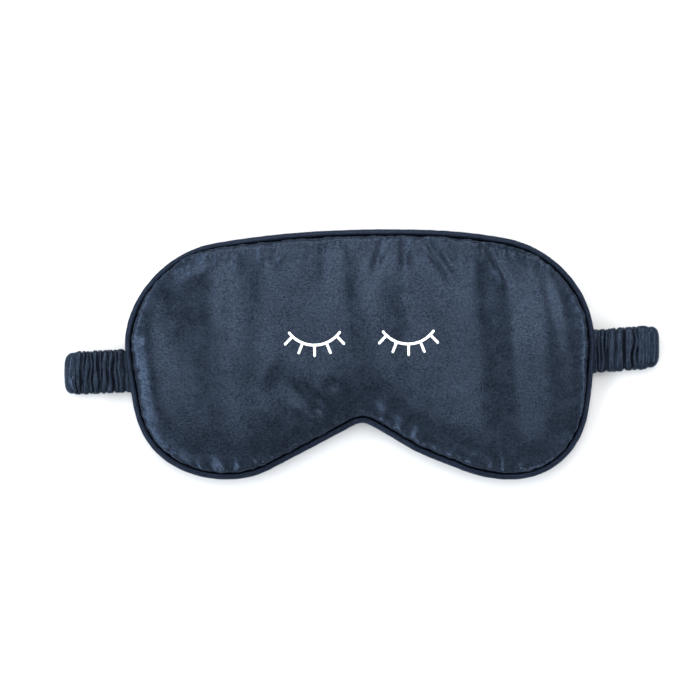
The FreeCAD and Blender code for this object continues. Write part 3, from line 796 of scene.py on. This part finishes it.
def strap_path(distance):
    """The strap's middle at a distance from its centre, as (x, z), and the side that the loop faces."""
    turn = (distance - TURN_X) / TURN_RADIUS
    if distance <= TURN_X:
        return (distance, LOWER_Z), (0.0, 1.0)
    if turn < math.pi:
        sine, cosine = math.sin(turn), math.cos(turn)
        middle = (TURN_X + TURN_RADIUS * sine, LOWER_Z + TURN_RADIUS * (1 - cosine))
        return middle, (-sine, cosine)
    return (TURN_X - (distance - TURN_X - TURN_LENGTH), UPPER_Z), (0.0, -1.0)


def upper_distance(x):
    """How far along the strap its upper run passes x."""
    return TURN_X + TURN_LENGTH + (TURN_X - x)


def gather_valleys(side):
    """The gathered cloth's valleys: place along the strap, depth, half width, slant and number."""
    style = GATHERS[side]
    generator = np.random.default_rng(style["seed"])
    place = 0.0
    valleys = []
    while place < upper_distance(TAB_X):
        gap = generator.uniform(*style["gap"])
        place += gap
        slant = generator.normal(0, style["slant"])
        half = min(gap, WIDEST_VALLEY) * VALLEY_SHARE
        valleys.append((place, generator.uniform(0.6, 1.0), half, slant, len(valleys)))
    return valleys


VALLEYS = {side: gather_valleys(side) for side in SIGNS}


def gather(distance, across, side):
    """The gathered cloth's height at points across the strap: 1 on ridges, 0 in the deepest valley."""
    deepest = np.zeros(len(across))
    seed = GATHERS[side]["noise_seed"]
    for place, depth, half, slant, number in VALLEYS[side]:
        if abs(distance - place) > 4:
            continue
        wander = noise_at(across * 1.2, number * 3.1, seed)
        fade = noise_at(across * 1.1, number * 2.3, seed + 5)
        away = np.abs(distance - place - slant * across - VALLEY_WANDER * wander) / half
        strength = np.clip(depth + 0.55 * fade, 0.2, 1.0)
        deepest = np.maximum(deepest, strength * np.clip(1 - away, 0, 1) ** 1.5)
    return 1 - deepest + 0.07 * noise_at(distance / 0.8, across * 2.0, seed + 7)


def calm_at_tip(distance, side):
    """How much of the gathers is left near the fold, where the cloth is pulled smooth."""
    reach = GATHERS[side]["calm"]
    away = abs(distance - TURN_X - TURN_LENGTH / 2)
    return CALM_SHARE + (1 - CALM_SHARE) * smooth(away, reach * 0.6, reach)


def corner_share(from_tip):
    """0 at the fold's rounded corners and 1 where the strap has its whole width."""
    inside = max(0.0, 1 - max(from_tip, 0) / CORNER_LENGTH)
    return math.sqrt(max(0.0, 1 - inside**2.2))


def strap_ring(distance, side, sign=None, around=26):
    """One closed ring of the sleeve: points across the outer face and back across the inner one.

    It has the side's gathers, and lies on the side too, unless sign says otherwise.
    """
    sign = sign or SIGNS[side]
    (x, z), inward = strap_path(distance)
    from_tip = abs(distance - TURN_X - TURN_LENGTH / 2) - TURN_LENGTH / 2
    calm = calm_at_tip(distance, side)
    near_tip = smooth(x, TURN_X - 6, TURN_X + TURN_RADIUS)
    wave = noise_at(distance / EDGE_WAVE_LENGTH, sign * 3.0, GATHERS[side]["noise_seed"])
    full = STRAP_HALF_WIDTH + SLEEVE_EASE - CORNER_LOSS * (1 - corner_share(from_tip)) + EDGE_WAVE * wave
    beyond_mask = smooth(x, LEG_SPLIT_X + 0.5, LEG_SPLIT_X + 4)
    outer = GATHER_INNER + (GATHER_OUTER - GATHER_INNER) * beyond_mask
    ring = []
    for face in (-1, 1):
        room = FOLD_ROOM if face > 0 and from_tip < 0 else 1.0
        across = -face * np.cos(math.pi * (np.arange(around) + 0.5) / around)
        lift = 1 - calm * (1 - gather(distance, across, side))
        width = full - EDGE_GATHER * (1 - lift)
        thick = CORE_THICKNESS + (outer if face < 0 else GATHER_INNER) * lift
        offset = face * thick * np.sqrt(1 - np.abs(across) ** 5) * room
        out = x + inward[0] * offset + near_tip * (TIP_BULGE[side] - TIP_ROUND * across**4)
        up = np.maximum(z + inward[1] * offset, TABLE_GAP)
        ring.append(np.column_stack([sign * out, across * width + strap_drift(sign * out), up]))
    return np.vstack(ring)


def strap_length(name, start, end, side, step=0.3):
    """A closed length of the sleeve between two distances along it."""
    count = max(2, int(abs(end - start) / step))
    rings = [strap_ring(start + (end - start) * n / count, side) for n in range(count + 1)]
    return tube_object(f"strap_{name}_{side}", rings)


def back_run(reach, step=0.6):
    """The flat run of the strap under the mask. The two sides' gathers merge in its middle."""
    rings = []
    for x in np.linspace(-reach, reach, int(2 * reach / step)):
        share = smooth(x, -20, 20)
        sign = -1 if x < 0 else 1
        left, right = (strap_ring(abs(x), side, sign) for side in SIGNS)
        rings.append(left * (1 - share) + right * share)
    return tube_object("strap_back_run", rings)


def strap_end(side):
    """The last of the upper run: it thins and rises to the seam under the piping."""
    rings = []
    for x in np.linspace(LEG_SPLIT_X, END_X, 14):
        ring = strap_ring(upper_distance(x), side)
        rise = smooth(-x, -LEG_SPLIT_X, -END_X)
        thinner = (ring[:, 2] - UPPER_Z) * (1 - END_THINNING * rise)
        ring[:, 2] = UPPER_Z + (END_Z - UPPER_Z) * rise + thinner
        rings.append(ring)
    return tube_object(f"strap_end_{side}", rings)


def strap_tab(side):
    """The strap's flattened end, which goes through the seam and is sewn between the panels."""
    rings = []
    for x in np.linspace(END_X + 0.5, TAB_X, 22):
        ring = strap_ring(upper_distance(x), side)
        rise = smooth(-x, -END_X - 0.5, -END_X + 0.9)
        middle = strap_drift(SIGNS[side] * x)
        ring[:, 1] = middle + (ring[:, 1] - middle) * TAB_WIDTH_SHARE
        ring[:, 2] = END_Z + (TAB_Z - END_Z) * rise + (ring[:, 2] - UPPER_Z) * TAB_THICKNESS_SHARE
        rings.append(ring)
    return tube_object(f"strap_tab_sewn_{side}", rings)


def elastic_band(node, around=24):
    """A flat elastic with cords across its width, in a CAD band's place along the strap."""
    low, high = cad_box(node)
    half_width, half_thick = (high[1] - low[1]) / 2, (high[2] - low[2]) / 2
    middle_z = (low[2] + high[2]) / 2
    angles = 2 * math.pi * (np.arange(around) + 0.5) / around
    across = np.sign(np.cos(angles)) * np.abs(np.cos(angles)) ** 0.4
    lift = np.sign(np.sin(angles)) * np.abs(np.sin(angles)) ** 0.5
    rings = []
    for x in np.arange(low[0], high[0], 0.35):
        thick = half_thick * (1 - CORD_RIB * (1 - abs(math.sin(math.pi * x / CORD_PITCH))))
        middle = strap_drift(x)
        rings.append([(x, middle + half_width * a, middle_z + thick * b) for a, b in zip(across, lift)])
    return tube_object(f"{node}_webbing", rings, "elastic")


def strap_tacks(side):
    """Two zigzag rows of tacks that hold the tab."""
    sign = SIGNS[side]
    pieces = []
    for middle in (SEWN_X - 1.6, TAB_X + 1.4):
        for n in range(-6, 7):
            x, y = sign * middle, n + strap_drift(sign * middle)
            start = (x - sign * TACK_REACH, y, TAB_Z - TACK_DROP)
            end = (x + sign * TACK_REACH, y + TACK_SLANT, TAB_Z - TACK_DROP)
            pieces.append(rod(start, end, TACK_RADIUS))
    return mesh_object(f"strap_tacks_sewn_{side}", *joined(*pieces), "thread")


# ---- print

PRINT_LIFT = 0.05
PRINT_THICKNESS = 0.1
LID_RADIUS = 14.0
LID_HALF_CHORD = 11.5
LID_LINE = 1.1
LASH_LENGTH = 4.5
LASH_COUNT = 5
LASH_SPAN = math.radians(88.0)
PRINT_LOW, PRINT_HIGH = cad_box("eye_print_right")
EYE_X = (PRINT_LOW[0] + PRINT_HIGH[0]) / 2
EYE_Y = PRINT_LOW[1] + LASH_LENGTH + LID_RADIUS


def ink_line(path, height_at):
    """A line of print with rounded ends along path, an array of x and y, laid on the surface."""
    ahead = np.gradient(path, axis=0)
    ahead /= np.linalg.norm(ahead, axis=1)[:, None]
    side = np.column_stack([-ahead[:, 1], ahead[:, 0]])
    travelled = np.concatenate([[0], np.cumsum(np.linalg.norm(np.diff(path, axis=0), axis=1))])
    from_end = np.minimum(travelled, travelled[-1] - travelled) / (LID_LINE / 2)
    half = LID_LINE / 2 * np.sqrt(1 - np.clip(1 - from_end, 0, 0.98) ** 2)
    columns = [path + side * (half * share)[:, None] for share in (-1, -0.5, 0, 0.5, 1)]
    heights = [height_at(column) for column in columns]
    top = [np.column_stack([c, z + PRINT_LIFT + PRINT_THICKNESS]) for c, z in zip(columns, heights)]
    under = [np.column_stack([c, z + PRINT_LIFT]) for c, z in zip(columns, heights)]
    return tube(np.stack(top + under[::-1], axis=1))


def eye_lines(sign, height_at):
    """A closed eye: its lid and its lashes."""
    centre = np.array((sign * EYE_X, EYE_Y))
    half_span = math.asin(LID_HALF_CHORD / LID_RADIUS)
    angles = np.linspace(-half_span, half_span, 70) - math.pi / 2
    lid = LID_RADIUS - LID_LINE / 2
    lines = [centre + lid * np.column_stack([np.cos(angles), np.sin(angles)])]
    for n in range(LASH_COUNT):
        angle = -math.pi / 2 + LASH_SPAN * (n / (LASH_COUNT - 1) - 0.5)
        out = np.array((math.cos(angle), math.sin(angle)))
        reach = np.linspace(lid, LID_RADIUS + LASH_LENGTH, 16)
        lines.append(centre + reach[:, None] * out)
    return joined(*[ink_line(line, height_at) for line in lines])


# ---- materials

WEFT_PERIOD = 0.00032
WARP_PERIOD = 0.00064
# the reach of the ambient occlusion that paints shade into the satin's crevices, and the share of the deep
# colour left there as painted shade
CREVICE_REACH = 0.002
PAINTED_CREVICE_SHADE = 0.15


def new_material(name):
    """Adds a material to LOOKS, and gives its shader and the socket for a point's place."""
    material = bpy.data.materials.new(name)
    material.use_nodes = True
    LOOKS[name] = material
    tree = material.node_tree
    return tree.nodes["Principled BSDF"], add_node(tree, "TexCoord").outputs["Object"]


def srgb(red, green, blue):
    """A colour as seen, 0 to 255, in the linear form that nodes take."""
    def linear(value):
        share = value / 255
        return share / 12.92 if share <= 0.04045 else ((share + 0.055) / 1.055) ** 2.4
    return (linear(red), linear(green), linear(blue), 1.0)


def feed(socket, value):
    """Gives an input a plain value or another node's output."""
    if isinstance(value, bpy.types.NodeSocket):
        socket.id_data.links.new(value, socket)
    else:
        socket.default_value = value


def set_inputs(node, **values):
    """Feeds a node's inputs by name, with _ for each space."""
    for name, value in values.items():
        feed(node.inputs[name.replace("_", " ")], value)


def add_node(tree, kind, **values):
    node = tree.nodes.new(f"ShaderNode{kind}")
    set_inputs(node, **values)
    return node


def noise_node(source, scale, detail=2.0, stretch=(1, 1, 1)):
    place = add_node(source.id_data, "Mapping", Vector=source, Scale=stretch).outputs["Vector"]
    return add_node(source.id_data, "TexNoise", Vector=place, Scale=scale, Detail=detail).outputs["Fac"]


def wave_node(source, period, direction, distortion=0.6):
    """Bands of thread. period is in metres."""
    scale = 2 * math.pi / (20 * period)
    texture = add_node(source.id_data, "TexWave", Vector=source, Scale=scale, Distortion=distortion)
    texture.bands_direction = direction
    return texture.outputs["Fac"]


def math_node(operation, first, second):
    node = add_node(first.id_data, "Math")
    node.operation = operation
    feed(node.inputs[0], first)
    feed(node.inputs[1], second)
    return node.outputs["Value"]


def weighted_sum(*parts):
    """The sum of (value, weight) pairs."""
    products = [math_node("MULTIPLY", value, weight) for value, weight in parts]
    total = products[0]
    for product in products[1:]:
        total = math_node("ADD", total, product)
    return total


def ramp_node(factor, stops):
    ramp = add_node(factor.id_data, "ValToRGB", Fac=factor)
    for element, (place, colour) in zip(ramp.color_ramp.elements, stops):
        element.position = place
        element.color = colour
    return ramp.outputs["Color"]


def mixed(share, first, second):
    """first where share is 0 and second where it is 1."""
    node = add_node(share.id_data, "Mix", Factor=share)
    node.data_type = "RGBA"
    for socket, value in zip([socket for socket in node.inputs if socket.type == "RGBA"], (first, second)):
        feed(socket, value)
    return next(socket for socket in node.outputs if socket.type == "RGBA")


def range_node(value, low, high, source=(0.3, 0.7)):
    """value's range source, laid on the range from low to high."""
    ends = {"From_Min": source[0], "From_Max": source[1], "To_Min": low, "To_Max": high}
    return add_node(value.id_data, "MapRange", Value=value, **ends).outputs["Result"]


def bump_node(height, strength, depth, **normal):
    """depth is in metres."""
    node = add_node(height.id_data, "Bump", Height=height, Strength=strength, Distance=depth, **normal)
    return node.outputs["Normal"]


def satin(name, deep, light, gloss, shine):
    """Satin: smooth threads with a cool sheen, soft uneven reflections and a fine slubby grain. Its
    crevices get painted shade: a darker colour and less metallic reflection.
    """
    shader, place = new_material(name)
    blotch = noise_node(place, 38, 2.0, (1.0, 0.5, 1.0))
    patch = noise_node(place, 140)
    slub = noise_node(place, 1400, 2.0, (0.7, 1.0, 1.0))
    speck = noise_node(place, 2200, 1.0)
    weft = wave_node(place, WEFT_PERIOD, "Y")
    warp = wave_node(place, WARP_PERIOD, "X")
    tone = weighted_sum((blotch, 0.14), (patch, 0.10), (slub, 0.40), (speck, 0.36))
    colour = ramp_node(tone, [(0.39, deep), (0.61, light)])
    # painted shade: ambient occlusion darkens the colour towards a near-black navy and cuts the metallic
    # reflection in crevices and gather valleys
    crevice = add_node(shader.id_data, "AmbientOcclusion", Distance=CREVICE_REACH)
    crevice.samples = 8
    unshaded_share = range_node(crevice.outputs["AO"], 0.0, 1.0, (0.25, 0.95))
    painted_shade_colour = (*(PAINTED_CREVICE_SHADE * value for value in deep[:3]), 1.0)
    weave = weighted_sum((weft, 0.5), (warp, 0.3), (slub, 1.2), (speck, 1.0))
    soft = bump_node(patch, 0.35, 0.0001)
    tangent = add_node(shader.id_data, "Tangent")
    tangent.direction_type = "UV_MAP"
    tangent.uv_map = "cloth"
    set_inputs(
        shader,
        Base_Color=mixed(unshaded_share, painted_shade_colour, colour),
        Metallic=math_node("MULTIPLY", unshaded_share, shine),
        Roughness=range_node(patch, gloss - 0.04, gloss + 0.05),
        Normal=bump_node(weave, 0.28, 0.00006, Normal=soft),
        Tangent=tangent.outputs["Tangent"],
        Anisotropic=0.4,
        Sheen_Weight=0.03,
        Sheen_Roughness=0.35,
        Sheen_Tint=(0.62, 0.74, 0.95, 1),
        Specular_IOR_Level=0.12,
        Specular_Tint=(0.35, 0.48, 0.7, 1),
    )


def matt_cloth(name, dark, light, grain, depth, weave_period=None):
    """Matt textile: cotton, wadding, blackout cloth, elastic or thread, by its grain and weave."""
    shader, place = new_material(name)
    fibres = noise_node(place, grain, 4.0)
    broad = noise_node(place, grain / 12)
    tone = weighted_sum((fibres, 0.6), (broad, 0.4))
    height = fibres
    if weave_period:
        warp = wave_node(place, weave_period, "X")
        weft = wave_node(place, weave_period, "Y")
        height = math_node("ADD", fibres, math_node("MULTIPLY", warp, weft))
    set_inputs(
        shader,
        Base_Color=ramp_node(tone, [(0.35, dark), (0.65, light)]),
        Normal=bump_node(height, 0.6, depth),
        Roughness=range_node(broad, 0.78, 0.95),
        Sheen_Weight=0.3,
        Sheen_Roughness=0.5,
    )


def print_film():
    """White screen print: slightly uneven ink over the cloth's grain."""
    shader, place = new_material("print_film")
    wear = noise_node(place, 900, 3.0)
    height = math_node("ADD", wear, wave_node(place, WEFT_PERIOD, "Y"))
    colour = ramp_node(wear, [(0.30, srgb(214, 217, 220)), (0.55, srgb(245, 246, 246))])
    relief = bump_node(height, 0.3, 0.00004)
    set_inputs(shader, Base_Color=colour, Normal=relief, Roughness=0.55)


def floor_look():
    """A pale floor that glows further out, so that it stays pale beyond the lamps."""
    shader, place = new_material("studio_floor")
    drift = noise_node(place, 3)
    far = add_node(shader.id_data, "VectorMath")
    far.operation = "LENGTH"
    feed(far.inputs[0], place)
    colour = ramp_node(drift, [(0.3, (0.63, 0.62, 0.61, 1)), (0.7, (0.65, 0.64, 0.63, 1))])
    glow = range_node(far.outputs["Value"], 0.0, BACKDROP, (0.6, 2.2))
    set_inputs(shader, Base_Color=colour, Roughness=0.9)
    set_inputs(shader, Emission_Color=(1, 1, 1, 1), Emission_Strength=glow)


# ---- assembly

def bend_with_mask(piece):
    """The mask is one soft piece, so each of its layers is one whole mesh in place of the CAD's left and
    right halves, which are hidden.
    """
    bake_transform(piece)
    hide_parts(*[f"{piece.name}_{side}" for side in SIGNS])


def ride_for(node, piece, body):
    """The piece moves with a body of the frame, in place of the node."""
    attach(piece, body)
    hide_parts(node)


def build_paddings(above, below):
    """The two paddings between the panels, clear of both surfaces, and the liner between them."""
    angles = np.arange(6) * math.pi / 3
    around = [(0, 0), *(PAD_CLEAR * np.column_stack([np.cos(angles), np.sin(angles)]))]

    def under_front(flat):
        lowest = np.min([above(flat + shift, -1, SEAM_Z + 1) for shift in around], axis=0)
        return np.maximum(lowest - CLOTH - PAD_GAP, SEAM_Z + 0.6)

    def over_back(flat):
        highest = np.max([below(flat + shift, 1, BACK_RIM_Z) for shift in around], axis=0)
        return highest + CLOTH + PAD_GAP

    def liner_top(flat):
        return np.full(len(flat), liner_high)

    liner_low, liner_high = (corner[2] for corner in cad_box("blackout_liner_left"))
    return [
        padding_solid("front_padding", 2.6, 3.0, under_front, SEAM_Z + 0.55, "wadding"),
        padding_solid("rear_padding", 7.0, 3.0, over_back, SEAM_Z - 0.8, "wadding"),
        padding_solid("blackout_liner", 0.3, 5.0, liner_top, liner_low, "blackout_cloth"),
    ]


def build_mask():
    front_points, back_points, faces = make_panel_shapes()
    front = cloth_sheet("front_panel", front_points, faces)
    back = cloth_sheet("back_panel", back_points, faces)
    above, below = surface_height(front), surface_height(back)
    pieces = [front, back, *build_paddings(above, below)]
    cover = edge_tube(PIPING_RADIUS, 18, 0.45, bias_ripple)
    eyes = [eye_lines(sign, lambda c: above(c, -1, CROWN_Z)) for sign in SIGNS.values()]
    swept = [
        ("piping_cover", joined(cover, flange_ring()), "bias_satin"),
        ("piping_cord", edge_tube(CORD_RADIUS, 12, 1.0, rope_ripple), "cotton_cord"),
        ("seam_stitches", seam_stitch_rods(), "thread"),
        ("eye_print", joined(*eyes), "print_film"),
    ]
    pieces += [mesh_object(name, lie(points), faces, slot) for name, (points, faces), slot in swept]
    for piece in pieces:
        bend_with_mask(piece)


def build_strap():
    reach = HINGE_X - BEND_REACH
    ride_for("back_sleeve", back_run(reach), "strap_back")
    for side in SIGNS:
        build_sleeve(side, reach, HINGE_X + BEND_REACH)
        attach(strap_end(side), f"{side}_upper_inner")
        ride_for(f"strap_tab_{side}", strap_tab(side), f"mask_{side}")
        ride_for(f"strap_tacks_{side}", strap_tacks(side), f"mask_{side}")


def build_sleeve(side, reach, past):
    """One side's lengths of the sleeve, each in place of a CAD sleeve part, which is hidden."""
    def at(x, z=LOWER_Z):
        return (SIGNS[side] * x * MM, 0, z * MM)

    fold_end = upper_distance(LOWER_SPLIT_X)
    lower_bend = (at(past + 0.5), at(LOWER_SPLIT_X - 0.5))
    fold_bend = (at(0, 2 * LOWER_Z - 0.05), at(0, UPPER_BASE + 0.05))
    upper_bend = (at(LOWER_SPLIT_X - 0.5), at(LEG_SPLIT_X + 0.5))
    lengths = [
        ("bend", reach, past, (at(reach), at(past)), "lower_inner"),
        ("lower_run", past, LOWER_SPLIT_X, lower_bend, "lower_outer"),
        ("fold", LOWER_SPLIT_X, fold_end, fold_bend, "upper_outer"),
        ("upper_run", fold_end, upper_distance(LEG_SPLIT_X), upper_bend, "upper_inner"),
    ]
    for name, first, last, (start, end), part in lengths:
        length = strap_length(name, first, last, side)
        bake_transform(length)
        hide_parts(f"{part}_sleeve_{side}")


def build_elastic():
    bodies = frame["record"]["behaviour"]["bodies"]
    nodes = [f"{run}_elastic_{side}" for run in ("lower", "upper") for side in SIGNS]
    for node in ["back_elastic", *nodes]:
        ride_for(node, elastic_band(node), next(name for name, held in bodies.items() if node in held))


# ---- floor, light and camera

BACKDROP = 0.8
HORIZON_GLOW, ZENITH_GLOW = 0.55, 0.14
CAMERA_HEIGHT = 1.0
FRAME_SHARE = 1.18
VIEW_SHIFT = (-4.2, 4.3)


def add_floor():
    size = 3.0
    mesh = bpy.data.meshes.new("floor")
    corners = [(-size, -size, 0), (size, -size, 0), (size, size, 0), (-size, size, 0)]
    mesh.from_pydata(corners, [], [(0, 1, 2, 3)])
    mesh.materials.append(LOOKS["studio_floor"])
    add_object("floor", mesh)


def add_area_light(name, place, width, height, power, colour=(1, 1, 1)):
    light = bpy.data.lights.new(name, "AREA")
    light.shape = "RECTANGLE"
    light.size, light.size_y = width, height
    light.energy, light.color = power, colour
    lamp = add_object(name, light)
    lamp.location = place
    lamp.rotation_euler = (-Vector(place)).to_track_quat("-Z", "Y").to_euler()


def add_lights():
    add_area_light("overhead", (0.0, 0.4, 1.45), 0.56, 1.1, 12.5)
    add_area_light("brow_light", (0.0, 1.25, 0.85), 2.1, 0.6, 22)
    add_area_light("chin_light", (0.0, -1.2, 0.8), 1.4, 0.5, 3)
    cool = (0.84, 0.92, 1.0)
    add_area_light("left_light", (-0.85, -0.25, 0.76), 1.9, 0.24, 22, cool)
    add_area_light("shoulder_light", (-0.8, 0.72, 0.88), 0.6, 0.22, 5, cool)
    add_area_light("right_light", (0.9, -0.1, 0.7), 1.4, 0.2, 11, cool)


def add_world():
    """A dim studio, lighter towards the horizon, which the camera sees as a pale backdrop."""
    world = bpy.data.worlds.new("studio")
    world.use_nodes = True
    tree = world.node_tree
    place = add_node(tree, "TexCoord").outputs["Generated"]
    direction = add_node(tree, "SeparateXYZ", Vector=place)
    glow = range_node(direction.outputs["Z"], HORIZON_GLOW, ZENITH_GLOW, (0.1, 0.6))
    seen = add_node(tree, "LightPath").outputs["Is Camera Ray"]
    strength = math_node("MAXIMUM", glow, math_node("MULTIPLY", seen, BACKDROP))
    set_inputs(tree.nodes["Background"], Color=(1.0, 0.97, 0.94, 1.0), Strength=strength)
    bpy.context.scene.world = world


def add_camera():
    low, high = CAD_BOX
    width = (high[0] - low[0]) * FRAME_SHARE
    camera = bpy.data.cameras.new("camera")
    camera.sensor_width = 36
    camera.lens = camera.sensor_width * (CAMERA_HEIGHT - SEAM_Z * MM) / width
    holder = add_object("camera", camera)
    holder.location = (VIEW_SHIFT[0] * MM, VIEW_SHIFT[1] * MM, CAMERA_HEIGHT)
    bpy.context.scene.camera = holder
    bpy.context.scene.view_settings.view_transform = "Standard"


def make_looks():
    satin("satin", srgb(18, 23, 32), srgb(43, 51, 63), gloss=0.26, shine=0.5)
    satin("bias_satin", srgb(15, 19, 29), srgb(33, 40, 53), gloss=0.38, shine=0.35)
    matt_cloth("wadding", srgb(214, 213, 208), srgb(243, 243, 240), 900, 0.0004)
    matt_cloth("blackout_cloth", srgb(14, 14, 16), srgb(34, 34, 38), 1500, 0.0001, 0.0005)
    matt_cloth("cotton_cord", srgb(206, 200, 186), srgb(236, 231, 219), 1800, 0.0002)
    matt_cloth("elastic", srgb(208, 207, 202), srgb(238, 238, 234), 1400, 0.0002, 0.0011)
    matt_cloth("thread", srgb(24, 31, 44), srgb(48, 58, 76), 4000, 0.00004)
    print_film()
    floor_look()


def main():
    make_looks()
    build_mask()
    build_strap()
    build_elastic()
    add_floor()
    add_lights()
    add_world()
    add_camera()


main()
